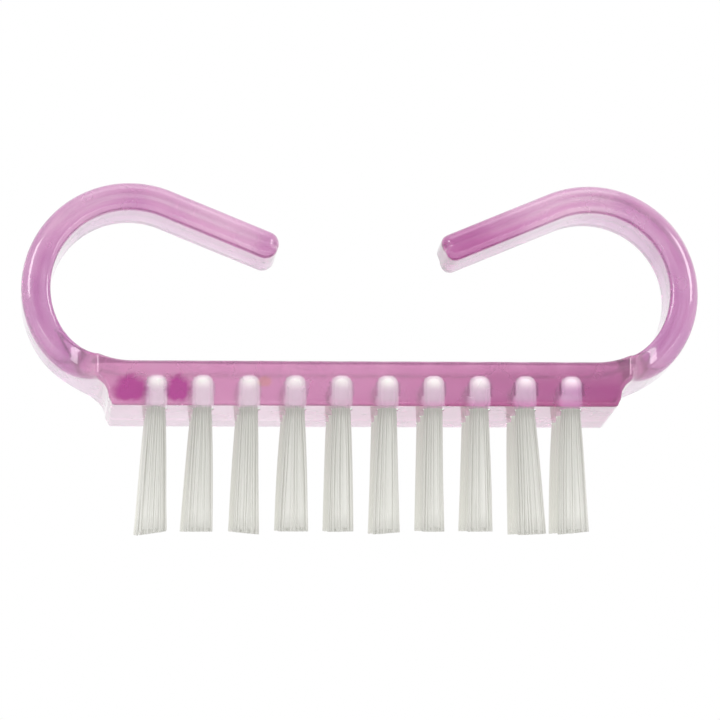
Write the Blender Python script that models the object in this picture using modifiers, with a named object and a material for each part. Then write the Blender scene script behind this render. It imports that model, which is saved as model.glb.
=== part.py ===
"""Acrylic nail brush: a translucent plastic bar with two curled finger arms and thirty nylon tufts.

The tufts stand in three rows of ten. Each is a bundle of filament folded over a flat metal anchor
and driven into a blind socket of the bar. Metres, +Z up. The bristle tips stand on z = 0, +X runs
along the bar, and the origin is at the middle of the brush, under it.
"""

import math
import random

import bmesh
import bpy
from mathutils import Matrix, Vector

MM = 0.001

# Bar.
BAR_HALF_LENGTH = 24.15 * MM  # at its lower edge
BAR_DRAFT = 0.25 * MM  # how much further out each end face is where the arm's root begins
BAR_DEPTH = 11.6 * MM
BAR_BOTTOM = 12.25 * MM
BAR_TOP = 16.57 * MM
BAR_EDGE = 0.3 * MM  # rounding of the long edges

# Arms: a loop round a centre over each end of the bar, then a straight finger that droops inwards.
LOOP_X = 22.2 * MM
LOOP_Z = 24.2 * MM
LOOP_OUTER = 10.42 * MM
LOOP_INNER = LOOP_Z - BAR_TOP  # the loop's inner side runs on into the bar's top face
ARM_DEPTH = 6.5 * MM
ARM_EDGE = 0.6 * MM
DROOP = math.radians(22.6)  # of the straight finger, below level
LEFT_FINGER = 11.55 * MM
RIGHT_FINGER = 11.6 * MM
LEFT_TIP_ROUNDING = 1.2 * MM
RIGHT_TIP_ROUNDING = 0.9 * MM
THINNING_AT = math.radians(215)  # where the outer side begins to close in on the root
THINNING_RADIUS = 8.0 * MM
ROOT_FILLET = 2.0 * MM  # between the arm's outer side and the bar's end face
FLARE_RADIUS = 4.0 * MM  # between the arm's side faces and the bar's, seen from above
FLARE_START = BAR_HALF_LENGTH + 5.1 * MM

# Tufts, and the sockets and anchors that hold them.
COLUMNS = 10
COLUMN_PITCH = 4.4 * MM
ROWS = 3
ROW_PITCH = 3.55 * MM
SOCKET_RADIUS = 1.0 * MM
SOCKET_DEPTH = 3.1 * MM
FIT = 0.06 * MM  # clearance round a tuft's root and round an anchor
ANCHOR_WIDTH = 2.26 * MM
ANCHOR_HEIGHT = 1.2 * MM
ANCHOR_THICKNESS = 0.28 * MM
FOLD = 0.55 * MM  # filament above the anchor, where the bundle turns back
TIP_LEAN = (-0.5, -0.55, -0.4, -0.15, -0.1, -0.2, -0.2, -0.1, 0.4, -0.05)  # mm along X, by column
TIP_WIDTH = (3.05, 3.0, 2.6, 3.3, 2.8, 2.8, 2.25, 2.6, 2.8, 3.1)  # mm along X, by column
TIP_DEPTH = 2.9 * MM
LEAN_SPREAD = 0.12 * MM  # how far a row's tips stray from the column's lean

ARC_STEP = math.radians(9)
SOCKET_SIDES = 12


def remove_everything():
    for item in list(bpy.data.objects):
        bpy.data.objects.remove(item, do_unlink=True)


def make_collection(name):
    group = bpy.data.collections.new(name)
    bpy.context.scene.collection.children.link(group)
    return group


def make_material(name, colour, roughness, metallic=0.0, alpha=1.0):
    material = bpy.data.materials.new(name)
    material.use_nodes = True
    shader = material.node_tree.nodes["Principled BSDF"]
    shader.inputs["Base Color"].default_value = (*colour, 1.0)
    shader.inputs["Roughness"].default_value = roughness
    shader.inputs["Metallic"].default_value = metallic
    shader.inputs["Alpha"].default_value = alpha
    material.diffuse_color = (*colour, 1.0)
    return material


def add_object(name, mesh, group, material=None):
    item = bpy.data.objects.new(name, mesh)
    group.objects.link(item)
    if material:
        mesh.materials.append(material)
    return item


def arc(centre, radius, start, end):
    """Points of an arc from angle start to angle end, both included, in the plane of the outline."""
    steps = max(2, round(abs(end - start) / ARC_STEP))
    angles = [start + (end - start) * i / steps for i in range(steps + 1)]
    return [centre + radius * Vector((math.cos(a), math.sin(a))) for a in angles]


def slab(name, outline, thickness, group, upright=True):
    """A flat outline with a thickness, centred on its plane: XZ when upright, else XY."""
    curve = bpy.data.curves.new(name + "_outline", "CURVE")
    curve.dimensions = "2D"
    curve.fill_mode = "BOTH"
    curve.extrude = thickness / 2
    spline = curve.splines.new("POLY")
    spline.points.add(len(outline) - 1)
    for point, place in zip(spline.points, outline):
        point.co = (place.x, place.y, 0, 1)
    spline.use_cyclic_u = True
    drawn = bpy.data.objects.new(name + "_outline", curve)
    if upright:
        drawn.rotation_euler.x = math.pi / 2
    group.objects.link(drawn)
    bpy.context.view_layer.update()

    depsgraph = bpy.context.evaluated_depsgraph_get()
    mesh = bpy.data.meshes.new_from_object(drawn.evaluated_get(depsgraph))
    mesh.transform(drawn.matrix_world)
    bpy.data.objects.remove(drawn, do_unlink=True)

    shape = bmesh.new()
    shape.from_mesh(mesh)
    bmesh.ops.remove_doubles(shape, verts=shape.verts, dist=0.005 * MM)
    bmesh.ops.dissolve_limit(shape, angle_limit=math.radians(0.5), verts=shape.verts, edges=shape.edges)
    bmesh.ops.recalc_face_normals(shape, faces=shape.faces)
    shape.to_mesh(mesh)
    shape.free()
    return add_object(name, mesh, group)


def round_edges(item, width, angle=60, segments=2):
    bevel = item.modifiers.new("edges", "BEVEL")
    bevel.width = width
    bevel.segments = segments
    bevel.limit_method = "ANGLE"
    bevel.angle_limit = math.radians(angle)


def combine(item, other, operation):
    boolean = item.modifiers.new(operation.lower(), "BOOLEAN")
    boolean.operation = operation
    boolean.object = other
    boolean.solver = "EXACT"


def left_root_curve():
    """The arm's outer side from the loop's thinning, through the root fillet, to the bar's end face."""
    loop = Vector((-LOOP_X, LOOP_Z))
    inward = Vector((math.cos(THINNING_AT), math.sin(THINNING_AT)))
    thin = loop + (LOOP_OUTER - THINNING_RADIUS) * inward
    end_x = -BAR_HALF_LENGTH - BAR_DRAFT
    fillet_x = end_x - ROOT_FILLET
    reach = THINNING_RADIUS + ROOT_FILLET
    fillet = Vector((fillet_x, thin.y - math.sqrt(reach**2 - (fillet_x - thin.x) ** 2)))
    towards = fillet - thin
    meeting = math.atan2(towards.y, towards.x) % math.tau
    outer = arc(thin, THINNING_RADIUS, THINNING_AT, meeting)
    inner = arc(fillet, ROOT_FILLET, meeting - math.pi, 0.0)
    return outer + inner[1:]


def left_arm_outline(finger, rounding):
    """Loop and straight finger, closed inside the root, where the body's outline takes over."""
    loop = Vector((-LOOP_X, LOOP_Z))
    start = math.pi / 2 - DROOP
    along = Vector((math.cos(DROOP), -math.sin(DROOP)))
    across = Vector((along.y, -along.x))
    outer = arc(loop, LOOP_OUTER, start, THINNING_AT)
    inner = arc(loop, LOOP_INNER, math.radians(235), start)
    low = inner[-1] + (finger - rounding) * along - rounding * across
    high = outer[0] + (finger - rounding) * along + rounding * across
    tip = arc(low, rounding, start - math.pi, -DROOP) + arc(high, rounding, -DROOP, start)
    thinning = [p for p in left_root_curve()[1:] if p.x < -FLARE_START + 1.2 * MM]
    return tip + outer + thinning + inner


def body_outline():
    """The bar with the roots of both arms, as far out as the flares reach."""
    loop = Vector((-LOOP_X, LOOP_Z))
    inner = arc(loop, LOOP_INNER, math.radians(270), math.radians(207))
    end = Vector((-BAR_HALF_LENGTH, BAR_BOTTOM))
    left = [p for p in inner + left_root_curve() if p.x > -FLARE_START] + [end]
    return left + [Vector((-p.x, p.y)) for p in left[::-1]]


def plan_outline():
    """The bar from above: full depth along the bar, flaring down to the arms past each end."""
    half_arm = ARM_DEPTH / 2
    centre = Vector((FLARE_START, half_arm + FLARE_RADIUS))
    rise = math.acos((centre.y - BAR_DEPTH / 2) / FLARE_RADIUS)
    right_back = arc(centre, FLARE_RADIUS, -math.pi / 2, -math.pi / 2 - rise)
    back = right_back + [Vector((-p.x, p.y)) for p in right_back[::-1]]
    return back + [Vector((p.x, -p.y)) for p in back[::-1]]


def mirrored(item, name, group):
    """A copy of a mesh object on the other side of x = 0."""
    mesh = item.data.copy()
    mesh.transform(Matrix.Scale(-1, 4, Vector((1, 0, 0))))
    mesh.flip_normals()
    return add_object(name, mesh, group)


def socket_place(row, column):
    x = (column - (COLUMNS - 1) / 2) * COLUMN_PITCH
    y = (row - (ROWS - 1) / 2) * ROW_PITCH
    return x, y


def cylinder_mesh(name, radius, bottom, top, sides):
    mesh = bpy.data.meshes.new(name)
    shape = bmesh.new()
    middle = Matrix.Translation((0, 0, (bottom + top) / 2)) @ Matrix.Rotation(math.pi / sides, 4, "Z")
    size = {"radius1": radius, "radius2": radius, "depth": top - bottom}
    bmesh.ops.create_cone(shape, cap_ends=True, segments=sides, matrix=middle, **size)
    shape.to_mesh(mesh)
    shape.free()
    return mesh


def box_mesh(name, size, centre):
    mesh = bpy.data.meshes.new(name)
    shape = bmesh.new()
    bmesh.ops.create_cube(shape, size=1.0, matrix=Matrix.Translation(centre) @ Matrix.Diagonal((*size, 1)))
    shape.to_mesh(mesh)
    shape.free()
    return mesh


def anchor_middle():
    """Height of an anchor's middle: the fold of filament lies between it and the socket's blind end."""
    return BAR_BOTTOM + SOCKET_DEPTH - FIT - FOLD - ANCHOR_HEIGHT / 2


def make_handle(group, cutters, material):
    body = slab("body_outline", body_outline(), BAR_DEPTH, group)
    plan = slab("plan_cutter", plan_outline(), 2 * BAR_TOP, cutters, upright=False)
    plan.location.z = BAR_TOP
    left = slab("left_arm_cutter", left_arm_outline(LEFT_FINGER, LEFT_TIP_ROUNDING), ARM_DEPTH, cutters)
    drawn = slab("right_arm_drawn", left_arm_outline(RIGHT_FINGER, RIGHT_TIP_ROUNDING), ARM_DEPTH, cutters)
    right = mirrored(drawn, "right_arm_cutter", cutters)
    bpy.data.objects.remove(drawn, do_unlink=True)
    for arm in (left, right):
        round_edges(arm, ARM_EDGE)

    handle = body
    handle.name = "handle"
    handle.data.materials.append(material)
    combine(handle, plan, "INTERSECT")
    round_edges(handle, BAR_EDGE)
    combine(handle, left, "UNION")
    combine(handle, right, "UNION")
    for cutter in make_socket_cutters(cutters):
        combine(handle, cutter, "DIFFERENCE")
    return handle


def make_socket_cutters(cutters):
    """One cutter for the round sockets and one for the slots that the anchors' ends bite into."""
    low = BAR_BOTTOM - 1 * MM
    high = BAR_BOTTOM + SOCKET_DEPTH
    hole = cylinder_mesh("socket", SOCKET_RADIUS, low, high, SOCKET_SIDES)
    slot_size = (ANCHOR_WIDTH + 2 * FIT, ANCHOR_THICKNESS + 2 * FIT, ANCHOR_HEIGHT + 2 * FIT)
    slot = box_mesh("anchor_slot", slot_size, (0, 0, anchor_middle()))
    made = []
    for name, pattern in (("sockets_cutter", hole), ("slots_cutter", slot)):
        shape = bmesh.new()
        for row in range(ROWS):
            for column in range(COLUMNS):
                copy = pattern.copy()
                copy.transform(Matrix.Translation((*socket_place(row, column), 0)))
                shape.from_mesh(copy)
                bpy.data.meshes.remove(copy)
        mesh = bpy.data.meshes.new(name)
        shape.to_mesh(mesh)
        shape.free()
        made.append(add_object(name, mesh, cutters))
    return made


def tuft_ring(height, lean, tip_half_width, tip_half_depth):
    """Centre offset and half sizes of a tuft's section at a height."""
    root = SOCKET_RADIUS - FIT
    if height >= BAR_BOTTOM - FIT:
        return Vector((0, 0)), root, root
    share = 1 - height / (BAR_BOTTOM - FIT)
    spread = math.sin(share * math.pi / 2) ** 0.9
    width = root + (tip_half_width - root) * spread
    depth = root + (tip_half_depth - root) * spread
    return lean * share, width, depth


def make_tuft(name, column, lean, place, group, cutters, material):
    """A bundle folded over its anchor: round in its socket, flaring and leaning towards its cut tips."""
    top = BAR_BOTTOM + SOCKET_DEPTH - FIT
    heights = [0.35 * BAR_BOTTOM, 0.75 * BAR_BOTTOM, BAR_BOTTOM - FIT]
    mesh = cylinder_mesh(name, 1.0, 0.0, top, SOCKET_SIDES)
    shape = bmesh.new()
    shape.from_mesh(mesh)
    for height in heights:
        everything = shape.verts[:] + shape.edges[:] + shape.faces[:]
        bmesh.ops.bisect_plane(shape, geom=everything, plane_co=(0, 0, height), plane_no=(0, 0, 1))
    for corner in shape.verts:
        offset, width, depth = tuft_ring(corner.co.z, lean, TIP_WIDTH[column] * MM / 2, TIP_DEPTH / 2)
        corner.co.x = offset.x + corner.co.x * width
        corner.co.y = offset.y + corner.co.y * depth
    shape.to_mesh(mesh)
    shape.free()
    tuft = add_object(name, mesh, group, material)
    tuft.location = (*place, 0)

    room = (3 * SOCKET_RADIUS, ANCHOR_THICKNESS + 2 * FIT, ANCHOR_HEIGHT + 2 * FIT)
    window = add_object(name + "_window", box_mesh(name + "_window", room, (0, 0, anchor_middle())), cutters)
    window.location = (*place, 0)
    combine(tuft, window, "DIFFERENCE")
    return tuft


def make_anchor(name, place, mesh, group):
    anchor = add_object(name, mesh, group)
    anchor.location = (*place, 0)
    return anchor


def hide_cutters(cutters):
    for item in cutters.objects:
        item.hide_render = True
        item.display_type = "WIRE"


def build():
    remove_everything()
    brush = make_collection("acrylic_nail_brush")
    cutters = make_collection("cutters")
    pink = make_material("pink_plastic", (0.62, 0.16, 0.44), 0.12, alpha=0.8)
    nylon = make_material("clear_nylon", (0.58, 0.62, 0.58), 0.35)
    steel = make_material("anchor_steel", (0.42, 0.43, 0.38), 0.35, metallic=1.0)

    make_handle(brush, cutters, pink)
    stray = random.Random(7)
    plate = box_mesh("anchor", (ANCHOR_WIDTH, ANCHOR_THICKNESS, ANCHOR_HEIGHT), (0, 0, anchor_middle()))
    plate.materials.append(steel)
    last = (ROWS - 1, COLUMNS - 1)  # its anchor is left out, so that the brush stays at sixty solids
    for row in range(ROWS):
        for column in range(COLUMNS):
            place = socket_place(row, column)
            label = f"r{row + 1}_c{column + 1:02d}"
            lean = Vector((TIP_LEAN[column] * MM, 0))
            lean += Vector((stray.uniform(-1, 1), stray.uniform(-1, 1))) * LEAN_SPREAD
            make_tuft("tuft_" + label, column, lean, place, brush, cutters, nylon)
            if (row, column) != last:
                make_anchor("anchor_" + label, place, plate, brush)
    hide_cutters(cutters)


build()
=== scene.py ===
# Looks of the nail brush: the handle as one smooth translucent moulding with its blind sockets, every tuft
# as nylon filaments folded over their anchor round a packed core, and drawn steel anchors. Metres, in the
# CAD's frame.
import math
import random

import bmesh
import bpy
import numpy as np
import openvdb
from mathutils import Matrix, Vector


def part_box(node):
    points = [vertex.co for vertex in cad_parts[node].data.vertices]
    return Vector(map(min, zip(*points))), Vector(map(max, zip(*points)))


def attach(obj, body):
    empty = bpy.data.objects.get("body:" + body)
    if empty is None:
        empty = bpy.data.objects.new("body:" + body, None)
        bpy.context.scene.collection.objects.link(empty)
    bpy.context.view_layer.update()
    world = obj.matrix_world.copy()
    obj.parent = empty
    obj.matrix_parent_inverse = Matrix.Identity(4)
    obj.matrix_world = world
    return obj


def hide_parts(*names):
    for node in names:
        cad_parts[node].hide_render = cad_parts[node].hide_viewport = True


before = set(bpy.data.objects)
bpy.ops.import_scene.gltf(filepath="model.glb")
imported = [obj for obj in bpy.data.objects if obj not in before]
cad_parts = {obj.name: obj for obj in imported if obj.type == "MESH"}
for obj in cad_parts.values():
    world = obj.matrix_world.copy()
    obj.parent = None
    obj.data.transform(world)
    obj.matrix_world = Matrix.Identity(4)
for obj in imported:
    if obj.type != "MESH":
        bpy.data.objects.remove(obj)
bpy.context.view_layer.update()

MM = 0.001

# The handle's shape, as the CAD has it. Its place and overall size come from the CAD node's box.
HANDLE_LOW, HANDLE_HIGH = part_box("handle")
LOOP_OUTER = 10.42 * MM
LOOP_X = HANDLE_HIGH.x - LOOP_OUTER
LOOP_Z = HANDLE_HIGH.z - LOOP_OUTER
BAR_HEIGHT = 4.32 * MM
BAR_BOTTOM = HANDLE_LOW.z
BAR_TOP = BAR_BOTTOM + BAR_HEIGHT
LOOP_INNER = LOOP_Z - BAR_TOP
BAR_HALF_LENGTH = 24.15 * MM
BAR_DRAFT = 0.25 * MM
BAR_HALF_DEPTH = HANDLE_HIGH.y
ARM_HALF_DEPTH = 3.25 * MM
DROOP = math.radians(22.6)
LEFT_FINGER = 11.55 * MM
RIGHT_FINGER = 11.6 * MM
LEFT_TIP_ROUNDING = 1.2 * MM
RIGHT_TIP_ROUNDING = 0.9 * MM
THINNING_AT = math.radians(215)
THINNING_RADIUS = 8.0 * MM
ROOT_FILLET = 2.0 * MM
FLARE_RADIUS = 4.0 * MM
FLARE_START = BAR_HALF_LENGTH + 5.1 * MM
FLARE_CORNER = 0.6 * MM
ARMS_ALONE_ABOVE = 19.8 * MM  # over this height the handle is only its arms
BAR_ROUNDING = 0.28 * MM
ARM_OUTER_ROUNDING = 1.25 * MM
ARM_INNER_ROUNDING = 0.6 * MM
CORNER_ROUNDING = 0.35 * MM
SURFACE_STEP = 0.15 * MM
FINE_ARC = math.radians(2)
COARSE_ARC = math.radians(11.5)  # for the smallest roundings

# Sockets and anchors.
ROWS = 3
COLUMNS = 10
SOCKET_RADIUS = 1.0 * MM
SOCKET_DEPTH = 3.1 * MM
SOCKET_DOME = 0.75 * MM  # height of its rounded blind end
SOCKET_CHAMFER = 0.06 * MM
SOCKET_SIDES = 40
DOME_TURN = math.radians(60)  # of the blind end's rounding, where its small flat begins
DOME_STEPS = 5
SLOT_ROOM = 0.12 * MM  # by which an anchor's slot is larger than the anchor
ANCHOR_EDGE = 0.07 * MM

# Tufts. A tuft's sections are placed by their share of the way from its socket's mouth to its cut.
BUNDLE_RADIUS = 0.86 * MM
FILAMENTS = 46  # folded double, so twice as many ends
FILAMENT_RADIUS = 0.078 * MM
FILAMENT_SIDES = 6
SECTIONS = (0.035, 0.09, 0.18, 0.34, 0.52, 0.7, 0.86)
GOLDEN = 0.618034  # of a half turn from one filament to the next, which spreads them evenly
ROW_TURN = 0.37  # of a half turn from one row's filaments to the next row's
SPLAY = 0.75  # under 1, a tuft opens out quickly under its socket and more slowly towards its tips
TIP_STRAY = 0.09  # how far filaments wander at the cut, as a share of its half size
BOW = 0.04 * MM  # how far they bend aside on the way
FOLD_STEPS = (0.17, 0.34, 0.5, 0.66, 0.83)  # of the half turn over the anchor
FOLD_RISE = (0.1, 0.33)  # mm that a fold rises over the anchor: the innermost one, and more at the rim
CORE_SHARE = 0.86  # of a tuft's section that its closely packed middle fills
CORE_SIDES = 72
CORE_FLUTE = 0.03  # depth of its grooves, as a share of its radius
CORE_SHORTER = 0.12 * MM  # so that the filaments' ends stand clear of it
CORE_END = 0.99  # of the way to its own cut

# How the tufts are cut. The rises are per length, along X by column and towards the back.
ROW_TRIM = (0.0, 0.65, 1.2)  # mm that each row is cut shorter, front to back
COLUMN_TRIM = (0.05, 0.2, 0.1, 0.25, 0.25, 0.1, 0.25, 0.25, 0.0, 0.15)  # mm, at each column's middle
TUFT_TRIM = 0.05  # mm, the most that chance takes off a tuft
FILAMENT_TRIM = 0.02 * MM  # by which a tuft's filaments differ
CUT_SLOPE = (0.15, 0.0, -0.1, 0.0, 0.02, 0.08, 0.0, 0.02, 0.05, 0.1)
CUT_TILT = 0.17

# The plastic's tint patches, an amber fleck and darker patches, most of them painted shade: tint, centre,
# reach and fade of each patch.
PLASTIC_IOR = 1.49
PATCH_STRAY = 0.9  # how far a patch's outline wanders from side to side, as a share of its reach
PATCH_NOISE = 1.6  # scale of that wandering, per reach
FRONT = -BAR_HALF_DEPTH
DARK_TINT = (0.54, 0.04, 0.44)
DARK_LEVEL = BAR_BOTTOM + 1.6 * MM
RIGHT_TIP = (LOOP_X - RIGHT_FINGER, 0, LOOP_Z + LOOP_INNER - 3.0 * MM)
LEFT_TIP = (LEFT_FINGER + 3 * MM - LOOP_X, 0, LOOP_Z + 4 * MM)
ARM_X = LOOP_X + 1.5 * MM
ARM_TINT = (0.75, 0.54, 0.77)
ARM_REACH = (13 * MM, 9 * MM, 11 * MM)
TINT_AND_SHADE_PATCHES = (
    # Two dark patches by the first socket.
    (DARK_TINT, (-22.3 * MM, FRONT, DARK_LEVEL), (2.3 * MM, 3 * MM, 1.8 * MM), 0.55),
    (DARK_TINT, (-17.8 * MM, FRONT, DARK_LEVEL), (1.6 * MM, 3 * MM, 1.8 * MM), 0.55),
    # Painted shade: the bar's front grows darker towards the right end, and so does its underside.
    ((0.46, 0.12, 0.38), (27 * MM, FRONT, BAR_BOTTOM), (43 * MM, 15 * MM, 6.4 * MM), 0.9),
    ((0.97, 0.49, 0.77), (20 * MM, -2 * MM, BAR_BOTTOM), (38 * MM, 12 * MM, 1.0 * MM), 0.7),
    # Painted shade: a dark line along the front's upper edge.
    ((0.55, 0.48, 0.56), (0, FRONT, BAR_TOP), (45 * MM, 1.5 * MM, 0.5 * MM), 0.4),
    # Darker at the fingers' ends; darker over the outer sides of both arms, partly the plastic's tone and
    # partly painted shade.
    ((0.72, 0.36, 0.64), RIGHT_TIP, (8.5 * MM, 8 * MM, 8.5 * MM), 0.6),
    ((0.82, 0.62, 0.80), LEFT_TIP, (4.5 * MM, 8 * MM, 4.5 * MM), 0.6),
    (ARM_TINT, (-ARM_X, 0, LOOP_Z), ARM_REACH, 0.4),
    (ARM_TINT, (ARM_X, 0, LOOP_Z), ARM_REACH, 0.4),
    # An amber fleck between the third and fourth sockets.
    ((1.0, 1.0, 0.6), (-9.6 * MM, FRONT, BAR_BOTTOM + 2.3 * MM), (0.9 * MM, 2 * MM, 0.7 * MM), 0.6),
)

# Studio lights: name, place and size in metres, and watts. All aim at the middle between the loops.
SOFTBOXES = (
    ("left_softbox", (-0.42, -0.35, 0.22), (0.2, 0.25), 0.9),
    ("right_softbox", (0.42, -0.35, 0.22), (0.2, 0.25), 0.9),
    ("overhead_softbox", (0, -0.2, 0.6), (0.5, 0.3), 0.5),
    ("low_strip", (0, -0.5, 0.015), (0.7, 0.02), 0.2),
)


def arc(centre, radius, start, end, step=FINE_ARC):
    """Points of an arc from angle start to angle end, both included."""
    steps = max(2, round(abs(end - start) / step))
    angles = np.linspace(start, end, steps + 1)
    return [Vector((centre[0] + radius * math.cos(a), centre[1] + radius * math.sin(a))) for a in angles]


# ---------------------------------------------------------------- handle


def left_root_curve():
    """The arm's outer side from where it thins, through the root fillet, to the bar's end face."""
    loop = Vector((-LOOP_X, LOOP_Z))
    inward = Vector((math.cos(THINNING_AT), math.sin(THINNING_AT)))
    thin = loop + (LOOP_OUTER - THINNING_RADIUS) * inward
    fillet_x = -BAR_HALF_LENGTH - BAR_DRAFT - ROOT_FILLET
    reach = THINNING_RADIUS + ROOT_FILLET
    fillet = Vector((fillet_x, thin.y - math.sqrt(reach**2 - (fillet_x - thin.x) ** 2)))
    towards = fillet - thin
    meeting = math.atan2(towards.y, towards.x) % math.tau
    outer = arc(thin, THINNING_RADIUS, THINNING_AT, meeting)
    return outer + arc(fillet, ROOT_FILLET, meeting - math.pi, 0.0)[1:]


def half_outline(finger, rounding):
    """The handle's left half in X and Z, from the bar's top round the arm to the bar's lower corner."""
    loop = Vector((-LOOP_X, LOOP_Z))
    start = math.pi / 2 - DROOP
    along = Vector((math.cos(DROOP), -math.sin(DROOP)))
    across = Vector((along.y, -along.x))
    inner = arc(loop, LOOP_INNER, math.radians(270), start)
    outer = arc(loop, LOOP_OUTER, start, THINNING_AT)
    low = inner[-1] + (finger - rounding) * along - rounding * across
    high = outer[0] + (finger - rounding) * along + rounding * across
    tip = arc(low, rounding, start - math.pi, -DROOP, COARSE_ARC)
    tip += arc(high, rounding, -DROOP, start, COARSE_ARC)
    centre = Vector((-BAR_HALF_LENGTH + CORNER_ROUNDING, BAR_BOTTOM + CORNER_ROUNDING))
    corner = arc(centre, CORNER_ROUNDING, math.pi, 1.5 * math.pi, COARSE_ARC)
    return inner + tip + outer + left_root_curve()[1:] + corner


def side_outline():
    right = [Vector((-p.x, p.y)) for p in half_outline(RIGHT_FINGER, RIGHT_TIP_ROUNDING)]
    return half_outline(LEFT_FINGER, LEFT_TIP_ROUNDING) + right[::-1]


def curl_outline():
    """The region inside the arms' middle line, drawn on past the fingers' ends. It holds the inner edges."""
    middle = (LOOP_OUTER + LOOP_INNER) / 2
    start = math.pi / 2 - DROOP
    turns = arc((-LOOP_X, LOOP_Z), middle, math.radians(270), start)
    along = Vector((math.cos(DROOP), -math.sin(DROOP)))
    past_finger = turns[-1] + 1.5 * LEFT_FINGER * along
    left = turns + [past_finger]
    return left + [Vector((-p.x, p.y)) for p in left[::-1]]


def plan_outline():
    """The handle from above: the bar's full depth, with a rounded corner and a flare down to each arm."""
    flare = Vector((FLARE_START, ARM_HALF_DEPTH + FLARE_RADIUS))
    corner_y = BAR_HALF_DEPTH - FLARE_CORNER
    rise = flare.y - corner_y
    corner = Vector((FLARE_START - math.sqrt((FLARE_RADIUS + FLARE_CORNER) ** 2 - rise**2), corner_y))
    meeting = math.atan2(corner.y - flare.y, corner.x - flare.x)
    quarter = [Vector((2 * FLARE_START, ARM_HALF_DEPTH))]
    quarter += arc(flare, FLARE_RADIUS, -math.pi / 2, meeting)
    quarter += arc(corner, FLARE_CORNER, meeting + math.pi, math.pi / 2)[1:]
    back = quarter + [Vector((-p.x, p.y)) for p in quarter[::-1]]
    return back + [Vector((p.x, -p.y)) for p in back[::-1]]


def outline_distance(first, second, outline):
    """Signed distance from every point of a grid to an outline, negative inside."""
    a, b = np.meshgrid(first, second, indexing="ij")
    nearest = np.full(a.shape, np.inf)
    inside = np.zeros(a.shape, bool)
    for start, end in zip(outline, outline[1:] + outline[:1]):
        run_a, run_b = end.x - start.x, end.y - start.y
        length = run_a**2 + run_b**2
        if length == 0:
            continue
        share = np.clip(((a - start.x) * run_a + (b - start.y) * run_b) / length, 0, 1)
        gap = (a - start.x - share * run_a) ** 2 + (b - start.y - share * run_b) ** 2
        nearest = np.minimum(nearest, gap)
        if run_b != 0:
            crosses = (start.y > b) != (end.y > b)
            inside ^= crosses & (a < start.x + run_a * (b - start.y) / run_b)
    return np.where(inside, -1, 1) * np.sqrt(nearest)


def smooth_step(value):
    share = np.clip(value, 0, 1)
    return share * share * (3 - 2 * share)


def mesh_object(name, vertices, faces, smooth=True):
    mesh = bpy.data.meshes.new(name)
    mesh.from_pydata(vertices, [], faces)
    mesh.validate()
    shape = bmesh.new()
    shape.from_mesh(mesh)
    bmesh.ops.recalc_face_normals(shape, faces=shape.faces)
    shape.to_mesh(mesh)
    shape.free()
    if smooth:
        mesh.shade_smooth()
    item = bpy.data.objects.new(name, mesh)
    bpy.context.scene.collection.objects.link(item)
    return item


def make_handle():
    """The moulding as the level surface of a distance field: outline by plan, with rounded edges."""
    margin = 3 * SURFACE_STEP
    axes = [np.arange(HANDLE_LOW[i] - margin, HANDLE_HIGH[i] + margin, SURFACE_STEP) for i in range(3)]
    x, y, z = axes
    side = outline_distance(x, z, side_outline())[:, None, :]
    plan = outline_distance(x, y, plan_outline())[:, :, None]
    arms = (np.abs(y) - ARM_HALF_DEPTH)[None, :, None]
    is_arm = z[None, None, :] >= ARMS_ALONE_ABOVE
    depth = np.where(is_arm, arms, plan)
    past_bar = (np.abs(x) - BAR_HALF_LENGTH) / (FLARE_START - BAR_HALF_LENGTH)
    share = np.where(is_arm, 1, smooth_step(past_bar)[:, None, None])
    in_curl = outline_distance(x, z, curl_outline())[:, None, :] < 0
    arm_rounding = np.where(in_curl, ARM_INNER_ROUNDING, ARM_OUTER_ROUNDING)
    rounding = BAR_ROUNDING + (arm_rounding - BAR_ROUNDING) * share
    a = side + rounding
    b = depth + rounding
    outside = np.sqrt(np.maximum(a, 0) ** 2 + np.maximum(b, 0) ** 2)
    field = outside + np.minimum(np.maximum(a, b), 0) - rounding

    grid = openvdb.FloatGrid(1.0)
    grid.copyFromArray(np.ascontiguousarray(field / SURFACE_STEP, dtype=np.float32))
    points, quads = grid.convertToQuads(isovalue=0.0)
    points = points * SURFACE_STEP + np.array([axis[0] for axis in axes])
    return mesh_object("handle_moulding", points.tolist(), quads.tolist())


def lathe(name, profile, sides):
    """A closed turned body from (radius, height) pairs, bottom to top."""
    vertices, faces = [], []
    for radius, height in profile:
        for i in range(sides):
            turn = math.tau * i / sides
            vertices.append((radius * math.cos(turn), radius * math.sin(turn), height))
    for ring in range(len(profile) - 1):
        for i in range(sides):
            j = (i + 1) % sides
            low, high = ring * sides, (ring + 1) * sides
            faces.append((low + i, low + j, high + j, high + i))
    faces.append(tuple(range(sides)))
    faces.append(tuple(range((len(profile) - 1) * sides, len(profile) * sides)))
    return mesh_object(name, vertices, faces, smooth=False)


def label(row, column):
    return f"r{row + 1}_c{column + 1:02d}"


def socket_places():
    """Each socket's place, from its anchor's box. The last has no CAD anchor, so its neighbours give it."""
    places = {}
    for row in range(ROWS):
        for column in range(COLUMNS):
            node = "anchor_" + label(row, column)
            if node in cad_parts:
                low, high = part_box(node)
                places[row, column] = (low + high) / 2
    last_row, last_column = ROWS - 1, COLUMNS - 1
    beside = places[last_row, last_column - 1]
    places[last_row, last_column] = Vector((places[0, last_column].x, beside.y, beside.z))
    return places


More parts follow.
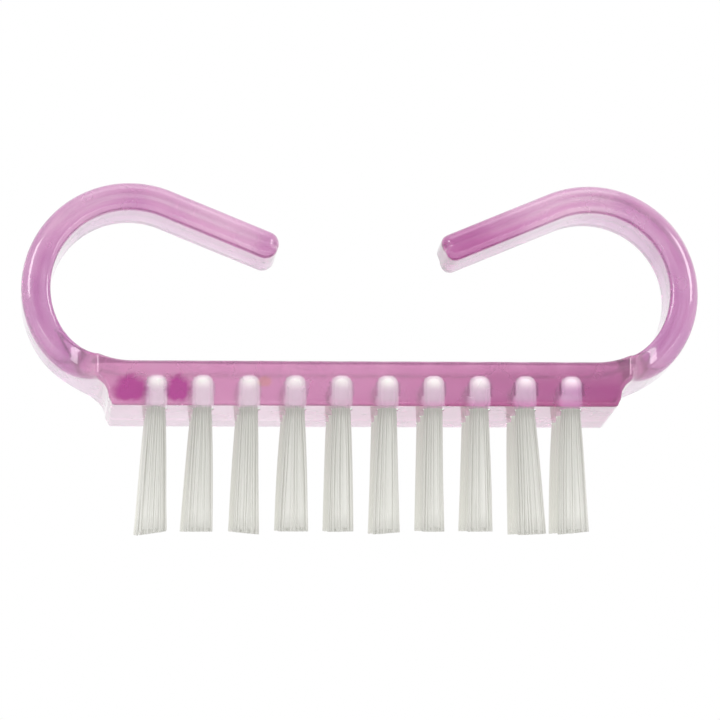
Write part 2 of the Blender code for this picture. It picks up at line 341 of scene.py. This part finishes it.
def cut_sockets(handle, places):
    """Drills the chamfered, round-ended sockets, and cuts the slots that the anchors' ends bite into."""
    profile = [
        (SOCKET_RADIUS + 2 * SOCKET_CHAMFER, BAR_BOTTOM - SOCKET_CHAMFER),
        (SOCKET_RADIUS, BAR_BOTTOM + SOCKET_CHAMFER),
    ]
    dome = BAR_BOTTOM + SOCKET_DEPTH - SOCKET_DOME
    for step in range(DOME_STEPS + 1):
        swing = DOME_TURN * step / DOME_STEPS
        lift = SOCKET_DOME * math.sin(swing) / math.sin(DOME_TURN)
        profile.append((SOCKET_RADIUS * math.cos(swing), dome + lift))
    low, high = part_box("anchor_" + label(0, 0))
    slot = high - low + Vector((SLOT_ROOM, SLOT_ROOM, SLOT_ROOM))
    drills = bmesh.new()
    for place in places.values():
        drill = lathe("drill", profile, SOCKET_SIDES)
        drill.data.transform(Matrix.Translation((place.x, place.y, 0)))
        drills.from_mesh(drill.data)
        bpy.data.objects.remove(drill)
    slots = bmesh.new()
    for place in places.values():
        size = Matrix.Diagonal((*slot, 1))
        bmesh.ops.create_cube(slots, size=1.0, matrix=Matrix.Translation(place) @ size)
    for shape in (drills, slots):
        mesh = bpy.data.meshes.new("cutter")
        shape.to_mesh(mesh)
        shape.free()
        cutter = bpy.data.objects.new("cutter", mesh)
        bpy.context.scene.collection.objects.link(cutter)
        boolean = handle.modifiers.new("sockets", "BOOLEAN")
        boolean.operation = "DIFFERENCE"
        boolean.solver = "MANIFOLD"
        boolean.object = cutter
        depsgraph = bpy.context.evaluated_depsgraph_get()
        cut = bpy.data.meshes.new_from_object(handle.evaluated_get(depsgraph))
        handle.modifiers.clear()
        handle.data = cut
        bpy.data.objects.remove(cutter)
    handle.data.set_sharp_from_angle(angle=math.radians(35))


def frost_sockets(handle, places, frosted):
    """Gives the drilled walls their own frosted material with its painted glow, and leaves the moulded
    surface as it is.
    """
    mesh = handle.data
    mesh.materials.append(frosted)
    centres = np.empty(3 * len(mesh.polygons))
    mesh.polygons.foreach_get("center", centres)
    centres = centres.reshape(-1, 3)
    drilled = np.zeros(len(centres), bool)
    margin = 0.02 * MM
    for place in places.values():
        away = np.hypot(centres[:, 0] - place.x, centres[:, 1] - place.y)
        drilled |= away < SOCKET_RADIUS + margin
    lowest, highest = BAR_BOTTOM + 0.05 * MM, BAR_TOP - 0.5 * MM
    drilled &= (centres[:, 2] > lowest) & (centres[:, 2] < highest)
    mesh.polygons.foreach_set("material_index", drilled.astype(np.int32))


# ---------------------------------------------------------------- tufts


def tube(path, radius, sides, vertices, faces):
    """Adds a capped tube along a path to a list of vertices and faces."""
    first = len(vertices)
    path = [Vector(p) for p in path]
    side = Vector((1, 0, 0))
    for i, place in enumerate(path):
        ahead = (path[min(i + 1, len(path) - 1)] - path[max(i - 1, 0)]).normalized()
        side = (side - side.dot(ahead) * ahead).normalized()
        other = ahead.cross(side)
        for k in range(sides):
            turn = math.tau * k / sides
            vertices.append(place + radius * (math.cos(turn) * side + math.sin(turn) * other))
    for i in range(len(path) - 1):
        for k in range(sides):
            low, high = first + i * sides, first + (i + 1) * sides
            faces.append((low + k, low + (k + 1) % sides, high + (k + 1) % sides, high + k))
    faces.append(tuple(first + k for k in range(sides)))
    faces.append(tuple(first + (len(path) - 1) * sides + k for k in range(sides)))


def tip_of(node):
    """Middle and half sizes of a CAD tuft's tip face."""
    corners = np.array([v.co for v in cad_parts[node].data.vertices])
    near_floor = 0.1 * MM
    tip = corners[corners[:, 2] < near_floor]
    low, high = tip.min(0), tip.max(0)
    return Vector((low + high) / 2), Vector((high - low) / 2)


def make_tuft(row, column, place, stray):
    """Filaments that come up one side of the anchor, fold over it and go down its other side."""
    tip, spread = tip_of("tuft_" + label(row, column))
    anchor_low, anchor_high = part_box("anchor_" + label(0, 0))
    clear = (anchor_high.y - anchor_low.y) / 2 + FILAMENT_RADIUS
    trim = (ROW_TRIM[row] + COLUMN_TRIM[column] + stray.uniform(0, TUFT_TRIM)) * MM
    slope = CUT_SLOPE[column]
    vertices, faces = [], []
    for i in range(FILAMENTS):
        reach = math.sqrt((i + 0.5) / FILAMENTS)
        turn = math.pi * ((i * GOLDEN + ROW_TURN * row) % 1.0)
        legs = []
        for way in (1, -1):
            root = Vector((reach * math.cos(turn), way * reach * math.sin(turn)))
            packed = BUNDLE_RADIUS * root
            packed.y = way * max(abs(packed.y), clear)
            end = root + Vector((stray.gauss(0, TIP_STRAY), stray.gauss(0, TIP_STRAY)))
            if end.length > 1:
                end.normalize()
            end = end * (spread.xy - Vector((FILAMENT_RADIUS, FILAMENT_RADIUS)))
            bow = Vector((stray.gauss(0, BOW), stray.gauss(0, BOW)))
            low = trim + slope * end.x + CUT_TILT * (end.y + spread.y)
            low = max(0.0, low) + abs(stray.gauss(0, FILAMENT_TRIM))
            leg = []
            for share in (1.0, *SECTIONS[::-1]):
                height = low + (BAR_BOTTOM - low) * (1 - share)
                middle = place.xy.lerp(tip.xy, share)
                at = middle + packed.lerp(end, share**SPLAY) + bow * math.sin(math.pi * share)
                leg.append(Vector((at.x, at.y, height)))
            inside = Vector((place.x + packed.x, place.y + packed.y, 0))
            for height in (BAR_BOTTOM + 0.5 * MM, anchor_low.z, anchor_high.z):
                leg.append(inside + Vector((0, 0, height)))
            legs.append(leg)
        up, down = legs
        middle = (up[-1] + down[-1]) / 2
        half = (up[-1] - down[-1]) / 2
        rise = (FOLD_RISE[0] + FOLD_RISE[1] * reach) * MM
        fold = []
        for step in FOLD_STEPS:
            swing = math.pi * step
            fold.append(middle + half * math.cos(swing) + Vector((0, 0, rise * math.sin(swing))))
        tube(up + fold + down[::-1], FILAMENT_RADIUS, FILAMENT_SIDES, vertices, faces)
    add_core(place, tip, spread, trim, vertices, faces)
    return mesh_object("bristles_" + label(row, column), vertices, faces)


def add_core(place, tip, spread, trim, vertices, faces):
    """The closely packed middle of a tuft, fluted by the filaments that stand side by side in it."""
    first = len(vertices)
    shares = (0.0, *SECTIONS, CORE_END)
    low = trim + CUT_TILT * spread.y + CORE_SHORTER
    for share in shares:
        height = low + (BAR_BOTTOM - low) * (1 - share)
        middle = place.xy.lerp(tip.xy, share)
        half = Vector((BUNDLE_RADIUS, BUNDLE_RADIUS)).lerp(spread.xy, share**SPLAY) * CORE_SHARE
        for k in range(CORE_SIDES):
            turn = math.tau * k / CORE_SIDES
            flute = 1.0 if k % 2 else 1 - CORE_FLUTE
            x = middle.x + half.x * flute * math.cos(turn)
            y = middle.y + half.y * flute * math.sin(turn)
            vertices.append(Vector((x, y, height)))
    for i in range(len(shares) - 1):
        for k in range(CORE_SIDES):
            j = (k + 1) % CORE_SIDES
            high, under = first + i * CORE_SIDES, first + (i + 1) * CORE_SIDES
            faces.append((high + k, high + j, under + j, under + k))
    faces.append(tuple(first + k for k in range(CORE_SIDES)))
    faces.append(tuple(first + (len(shares) - 1) * CORE_SIDES + k for k in range(CORE_SIDES)))


def make_anchor(row, column, place):
    """A piece of flat drawn wire with rounded edges."""
    low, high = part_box("anchor_" + label(0, 0))
    size = high - low
    shape = bmesh.new()
    bmesh.ops.create_cube(shape, size=1.0, matrix=Matrix.Diagonal((*size, 1)))
    rounding = {"offset": ANCHOR_EDGE, "offset_type": "OFFSET", "segments": 3, "profile": 0.5}
    bmesh.ops.bevel(shape, geom=shape.edges[:], affect="EDGES", **rounding)
    mesh = bpy.data.meshes.new("anchor")
    shape.to_mesh(mesh)
    shape.free()
    mesh.shade_smooth()
    mesh.set_sharp_from_angle(angle=math.radians(50))
    mesh.transform(Matrix.Translation(place))
    item = bpy.data.objects.new("anchor_wire_" + label(row, column), mesh)
    bpy.context.scene.collection.objects.link(item)
    return item


# ---------------------------------------------------------------- materials


def new_material(name):
    material = bpy.data.materials.new(name)
    material.use_nodes = True
    nodes, links = material.node_tree.nodes, material.node_tree.links
    return material, nodes, links, nodes["Principled BSDF"]


def math_node(nodes, links, operation, *values):
    """One calculation with up to three values, each a number or another node's output."""
    node = nodes.new("ShaderNodeMath")
    node.operation = operation
    for socket, value in zip(node.inputs, values):
        if isinstance(value, (int, float)):
            socket.default_value = value
        else:
            links.new(value, socket)
    return node.outputs["Value"]


def remap(nodes, links, value, source, target=(0.0, 1.0), smooth=False):
    """Takes a value from the source range to the target range, and holds it at the ends."""
    node = nodes.new("ShaderNodeMapRange")
    if smooth:
        node.interpolation_type = "SMOOTHSTEP"
    node.inputs["From Min"].default_value, node.inputs["From Max"].default_value = source
    node.inputs["To Min"].default_value, node.inputs["To Max"].default_value = target
    links.new(value, node.inputs["Value"])
    return node.outputs["Result"]


def split(nodes, links, vector):
    """A vector's X, Y and Z, by name."""
    parts = nodes.new("ShaderNodeSeparateXYZ")
    links.new(vector, parts.inputs["Vector"])
    return parts.outputs


def object_place(nodes):
    return nodes.new("ShaderNodeTexCoord").outputs["Object"]


def noise_between(nodes, links, scale, low, high):
    """A value from low to high that wanders with object-space noise, and the noise itself."""
    noise = nodes.new("ShaderNodeTexNoise")
    noise.inputs["Scale"].default_value = scale
    noise.inputs["Detail"].default_value = 3.0
    links.new(object_place(nodes), noise.inputs["Vector"])
    return remap(nodes, links, noise.outputs["Fac"], (0.3, 0.7), (low, high)), noise.outputs["Fac"]


def mixed_colour(nodes, links, share, first, second):
    mix = nodes.new("ShaderNodeMix")
    mix.data_type = "RGBA"
    mix.inputs["A"].default_value = (*first, 1)
    mix.inputs["B"].default_value = (*second, 1)
    links.new(share, mix.inputs["Factor"])
    return mix.outputs["Result"]


def tinted(nodes, links, colour, share, tint):
    """A colour multiplied by a tint, by as much as the share says."""
    mix = nodes.new("ShaderNodeMix")
    mix.data_type = "RGBA"
    mix.blend_type = "MULTIPLY"
    links.new(share, mix.inputs["Factor"])
    links.new(colour, mix.inputs["A"])
    if isinstance(tint, tuple):
        mix.inputs["B"].default_value = (*tint, 1)
    else:
        links.new(tint, mix.inputs["B"])
    return mix.outputs["Result"]


def tint_patch(nodes, links, colour, tint, centre, reach, fade):
    """Tints a colour unevenly round a point, for pigment and for painted shade alike, and fades out over its
    reach.
    """
    mapping = nodes.new("ShaderNodeMapping")
    mapping.vector_type = "TEXTURE"
    mapping.inputs["Location"].default_value = centre
    mapping.inputs["Scale"].default_value = reach
    links.new(object_place(nodes), mapping.inputs["Vector"])
    noise = nodes.new("ShaderNodeTexNoise")
    noise.inputs["Scale"].default_value = PATCH_NOISE
    links.new(mapping.outputs["Vector"], noise.inputs["Vector"])
    stray = nodes.new("ShaderNodeVectorMath")
    stray.operation = "MULTIPLY_ADD"
    stray.inputs[1].default_value = [PATCH_STRAY] * 3
    stray.inputs[2].default_value = [-PATCH_STRAY / 2] * 3
    links.new(noise.outputs["Color"], stray.inputs[0])
    moved = nodes.new("ShaderNodeVectorMath")
    links.new(mapping.outputs["Vector"], moved.inputs[0])
    links.new(stray.outputs["Vector"], moved.inputs[1])
    ball = nodes.new("ShaderNodeTexGradient")
    ball.gradient_type = "SPHERICAL"
    links.new(moved.outputs["Vector"], ball.inputs["Vector"])
    share = remap(nodes, links, ball.outputs["Fac"], (0.0, fade), smooth=True)
    return tinted(nodes, links, colour, share, tint)


def distance_from_loop(nodes, links, out, up):
    """How far out in its arm a point is, from its place beside the loop's centre.

    Along the finger it is measured from a line through that centre, parallel to the finger.
    """
    lean, level = math.sin(DROOP), math.cos(DROOP)
    forward = math_node(nodes, links, "MULTIPLY", out, -level)
    forward = math_node(nodes, links, "MULTIPLY_ADD", up, -lean, forward)
    across = math_node(nodes, links, "MULTIPLY", out, -lean)
    across = math_node(nodes, links, "MULTIPLY_ADD", up, level, across)
    place = nodes.new("ShaderNodeCombineXYZ")
    links.new(math_node(nodes, links, "MINIMUM", forward, 0.0), place.inputs["X"])
    links.new(across, place.inputs["Y"])
    length = nodes.new("ShaderNodeVectorMath")
    length.operation = "LENGTH"
    links.new(place.outputs["Vector"], length.inputs[0])
    return length.outputs["Value"]


def painted_arm_streaks(nodes, links, colour):
    """Soft light and dark streaks in the arms, painted highlight and painted shade, that run round the curl
    to the finger's end.
    """
    streaks_per_metre, drift_per_metre = 1500.0, 60.0  # of noise, across an arm and along it
    place = split(nodes, links, object_place(nodes))
    either_side = math_node(nodes, links, "ABSOLUTE", place["X"])
    out = math_node(nodes, links, "SUBTRACT", either_side, LOOP_X)
    up = math_node(nodes, links, "SUBTRACT", place["Z"], LOOP_Z)
    distance = distance_from_loop(nodes, links, out, up)
    stretched = nodes.new("ShaderNodeCombineXYZ")
    links.new(math_node(nodes, links, "MULTIPLY", distance, streaks_per_metre), stretched.inputs["X"])
    links.new(math_node(nodes, links, "MULTIPLY", place["Z"], drift_per_metre), stretched.inputs["Y"])
    links.new(math_node(nodes, links, "MULTIPLY", place["X"], drift_per_metre), stretched.inputs["Z"])
    noise = nodes.new("ShaderNodeTexNoise")
    noise.inputs["Scale"].default_value = 1.0
    noise.inputs["Detail"].default_value = 4.0
    links.new(stretched.outputs["Vector"], noise.inputs["Vector"])
    share = remap(nodes, links, noise.outputs["Fac"], (0.35, 0.65))
    # Painted highlight and painted shade: the streaks lighten and darken the arms' colour.
    streak = mixed_colour(nodes, links, share, (0.85, 0.69, 0.85), (1.07, 1.36, 1.13))
    over_bar = remap(nodes, links, place["Z"], (ARMS_ALONE_ABOVE, ARMS_ALONE_ABOVE + 2 * MM))
    past_bar = remap(nodes, links, out, (3 * MM, 5 * MM))
    on_arm = math_node(nodes, links, "MAXIMUM", over_bar, past_bar)
    return tinted(nodes, links, colour, on_arm, streak)


def absorb(material, loss):
    """Colours the body of a clear material by what it absorbs per metre in red, green and blue."""
    nodes, links = material.node_tree.nodes, material.node_tree.links
    density = max(loss) * 1.05  # a little over the most, because no colour may reach zero
    volume = nodes.new("ShaderNodeVolumeAbsorption")
    volume.inputs["Color"].default_value = (*[1 - one / density for one in loss], 1)
    volume.inputs["Density"].default_value = density
    links.new(volume.outputs["Volume"], nodes["Material Output"].inputs["Volume"])


def wavy_surface(nodes, links, shader, height, distance):
    bump = nodes.new("ShaderNodeBump")
    bump.inputs["Strength"].default_value = 0.3
    bump.inputs["Distance"].default_value = distance
    links.new(height, bump.inputs["Height"])
    links.new(bump.outputs["Normal"], shader.inputs["Normal"])


def pink_plastic():
    """Clear pink plastic, with tint patches of pigment and of painted shade, and painted light and dark
    streaks in the arms.
    """
    material, nodes, links, shader = new_material("pink_translucent_plastic")
    share, _ = noise_between(nodes, links, 140, 0, 1)
    colour = mixed_colour(nodes, links, share, (0.93, 0.70, 0.87), (0.87, 0.60, 0.81))
    for patch in TINT_AND_SHADE_PATCHES:
        colour = tint_patch(nodes, links, colour, *patch)
    links.new(painted_arm_streaks(nodes, links, colour), shader.inputs["Base Color"])
    shader.inputs["Transmission Weight"].default_value = 0.86
    shader.inputs["IOR"].default_value = PLASTIC_IOR
    shader.inputs["Coat Weight"].default_value = 1.0
    shader.inputs["Coat Roughness"].default_value = 0.04
    shader.inputs["Coat IOR"].default_value = PLASTIC_IOR
    rough, height = noise_between(nodes, links, 260, 0.2, 0.3)
    links.new(rough, shader.inputs["Roughness"])
    wavy_surface(nodes, links, shader, height, 0.04 * MM)
    absorb(material, (36, 118, 66))
    return material


def drilled_plastic():
    """The frosted walls of the sockets, with a painted glow that stands in for the light that the clear
    plastic would carry to them.
    """
    material, nodes, links, shader = new_material("drilled_socket_wall_painted_glow")
    share, _ = noise_between(nodes, links, 1500, 0, 1)
    colour = mixed_colour(nodes, links, share, (1.0, 0.98, 0.99), (0.96, 0.92, 0.95))
    links.new(colour, shader.inputs["Base Color"])
    shader.inputs["Transmission Weight"].default_value = 0.5
    shader.inputs["IOR"].default_value = PLASTIC_IOR
    rough, height = noise_between(nodes, links, 4000, 0.35, 0.6)
    links.new(rough, shader.inputs["Roughness"])
    wavy_surface(nodes, links, shader, height, 0.02 * MM)

    # Painted light: the glow is strongest high in the socket, where the wall faces the front or back, and to
    # the right.
    place = split(nodes, links, object_place(nodes))
    climb = remap(nodes, links, place["Z"], (BAR_BOTTOM + 1.5 * MM, BAR_BOTTOM + 2.8 * MM), smooth=True)
    normal = split(nodes, links, nodes.new("ShaderNodeNewGeometry").outputs["Normal"])
    facing = math_node(nodes, links, "MULTIPLY", normal["Y"], normal["Y"])
    bright = math_node(nodes, links, "MULTIPLY", climb, facing)
    glow = mixed_colour(nodes, links, bright, (0.19, 0.32, 0.23), (0.54, 1.0, 0.60))
    links.new(glow, shader.inputs["Emission Color"])
    strength = remap(nodes, links, place["X"], (-2 * MM, 20 * MM), (1.0, 2.3))
    links.new(strength, shader.inputs["Emission Strength"])
    return material


def clear_nylon():
    """Nylon with a painted glow that stands for the light that packed filaments pass on to each other,
    stronger in the back rows, and painted shade that darkens it towards the bar.
    """
    material, nodes, links, shader = new_material("clear_nylon_filament")
    rough, _ = noise_between(nodes, links, 500, 0.35, 0.5)
    links.new(rough, shader.inputs["Roughness"])
    shader.inputs["Transmission Weight"].default_value = 0.2
    shader.inputs["IOR"].default_value = 1.53
    place = split(nodes, links, object_place(nodes))
    # Painted shade: the base colour darkens towards the bar.
    rise = remap(nodes, links, place["Z"], (0.0, BAR_BOTTOM))
    colour = mixed_colour(nodes, links, rise, (0.53, 0.53, 0.50), (0.35, 0.35, 0.325))
    links.new(colour, shader.inputs["Base Color"])
    # Painted light: the glow grows towards the back rows.
    depth = remap(nodes, links, place["Y"], (-BAR_HALF_DEPTH / 2, 0.0))
    glow = mixed_colour(nodes, links, depth, (0.20, 0.20, 0.187), (0.34, 0.34, 0.32))
    links.new(glow, shader.inputs["Emission Color"])
    shader.inputs["Emission Strength"].default_value = 1.0
    return material


def anchor_steel():
    material, nodes, links, shader = new_material("drawn_anchor_steel")
    share, _ = noise_between(nodes, links, 2500, 0, 1)
    colour = mixed_colour(nodes, links, share, (0.80, 0.80, 0.76), (0.68, 0.68, 0.64))
    links.new(colour, shader.inputs["Base Color"])
    shader.inputs["Metallic"].default_value = 1.0
    rough, _ = noise_between(nodes, links, 4000, 0.25, 0.5)
    links.new(rough, shader.inputs["Roughness"])
    return material


# ---------------------------------------------------------------- scene


def add_camera():
    """Close and a little below the bar, turned slightly to the left end, with a long lens."""
    distance = 431.3 * MM
    azimuth, elevation, tilt = math.radians(-5.0), math.radians(-11.2), math.radians(-0.72)
    target = Vector((0, 0, 17.2 * MM))
    back = Vector((
        math.sin(azimuth) * math.cos(elevation),
        -math.cos(azimuth) * math.cos(elevation),
        math.sin(elevation),
    ))
    data = bpy.data.cameras.new("camera")
    data.lens = 224.27
    data.sensor_width = 36
    data.clip_start = 0.01
    data.shift_x = -0.0009
    data.shift_y = 0.0084
    camera = bpy.data.objects.new("camera", data)
    bpy.context.scene.collection.objects.link(camera)
    facing = back.to_track_quat("Z", "Y").to_matrix().to_4x4()
    placed = Matrix.Translation(target + distance * back) @ facing
    camera.matrix_world = placed @ Matrix.Rotation(tilt, 4, "Z")
    bpy.context.scene.camera = camera


def add_world():
    """White all round, and dimmer on the camera's side, where a studio holds the camera and its stand."""
    world = bpy.data.worlds.new("studio")
    bpy.context.scene.world = world
    world.use_nodes = True
    nodes, links = world.node_tree.nodes, world.node_tree.links
    direction = split(nodes, links, nodes.new("ShaderNodeTexCoord").outputs["Generated"])
    level = remap(nodes, links, direction["Y"], (-0.9, 0.1), (0.75, 1.0), smooth=True)
    seen = nodes.new("ShaderNodeLightPath").outputs["Is Camera Ray"]
    background = nodes["Background"]
    background.inputs["Color"].default_value = (1, 1, 1, 1)
    links.new(math_node(nodes, links, "MAXIMUM", level, seen), background.inputs["Strength"])


def add_softbox(name, place, aim, size, power):
    data = bpy.data.lights.new(name, "AREA")
    data.shape = "RECTANGLE"
    data.size, data.size_y = size
    data.energy = power
    lamp = bpy.data.objects.new(name, data)
    bpy.context.scene.collection.objects.link(lamp)
    lamp.location = place
    lamp.rotation_euler = (Vector(place) - Vector(aim)).to_track_quat("Z", "Y").to_euler()


def add_floor():
    """A pale floor that is only seen from above, so that a low camera looks at the brush through it."""
    mesh = bpy.data.meshes.new("floor")
    half = 3.0
    level = -0.2 * MM  # just clear of the tips
    corners = [(-half, -half, level), (half, -half, level), (half, half, level), (-half, half, level)]
    mesh.from_pydata(corners, [], [(0, 1, 2, 3)])
    floor = bpy.data.objects.new("floor", mesh)
    bpy.context.scene.collection.objects.link(floor)
    material, nodes, links, shader = new_material("floor_paper")
    share, _ = noise_between(nodes, links, 40, 0, 1)
    colour = mixed_colour(nodes, links, share, (0.95, 0.95, 0.96), (0.93, 0.93, 0.94))
    links.new(colour, shader.inputs["Base Color"])
    shader.inputs["Roughness"].default_value = 0.8
    clear = nodes.new("ShaderNodeBsdfTransparent")
    mix = nodes.new("ShaderNodeMixShader")
    geometry = nodes.new("ShaderNodeNewGeometry")
    links.new(geometry.outputs["Backfacing"], mix.inputs["Fac"])
    links.new(shader.outputs["BSDF"], mix.inputs[1])
    links.new(clear.outputs["BSDF"], mix.inputs[2])
    links.new(mix.outputs["Shader"], nodes["Material Output"].inputs["Surface"])
    mesh.materials.append(material)


def place_piece(piece, material, node=None):
    """Gives a piece its material and its body, and hides the CAD node that it stands for, if it has one."""
    piece.data.materials.clear()
    piece.data.materials.append(material)
    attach(piece, "root")
    if node:
        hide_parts(node)


def build():
    scene = bpy.context.scene
    scene.view_settings.view_transform = "Standard"
    add_camera()
    add_world()
    add_floor()
    for name, place, size, power in SOFTBOXES:
        add_softbox(name, place, (0, 0, LOOP_Z), size, power)

    pink, drilled, nylon, steel = pink_plastic(), drilled_plastic(), clear_nylon(), anchor_steel()
    places = socket_places()
    handle = make_handle()
    cut_sockets(handle, places)
    place_piece(handle, pink, "handle")
    frost_sockets(handle, places, drilled)
    stray = random.Random(11)
    for (row, column), place in places.items():
        name = label(row, column)
        tuft = make_tuft(row, column, place, stray)
        place_piece(tuft, nylon, "tuft_" + name)
        anchor = make_anchor(row, column, place)
        node = "anchor_" + name
        place_piece(anchor, steel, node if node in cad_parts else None)


build()
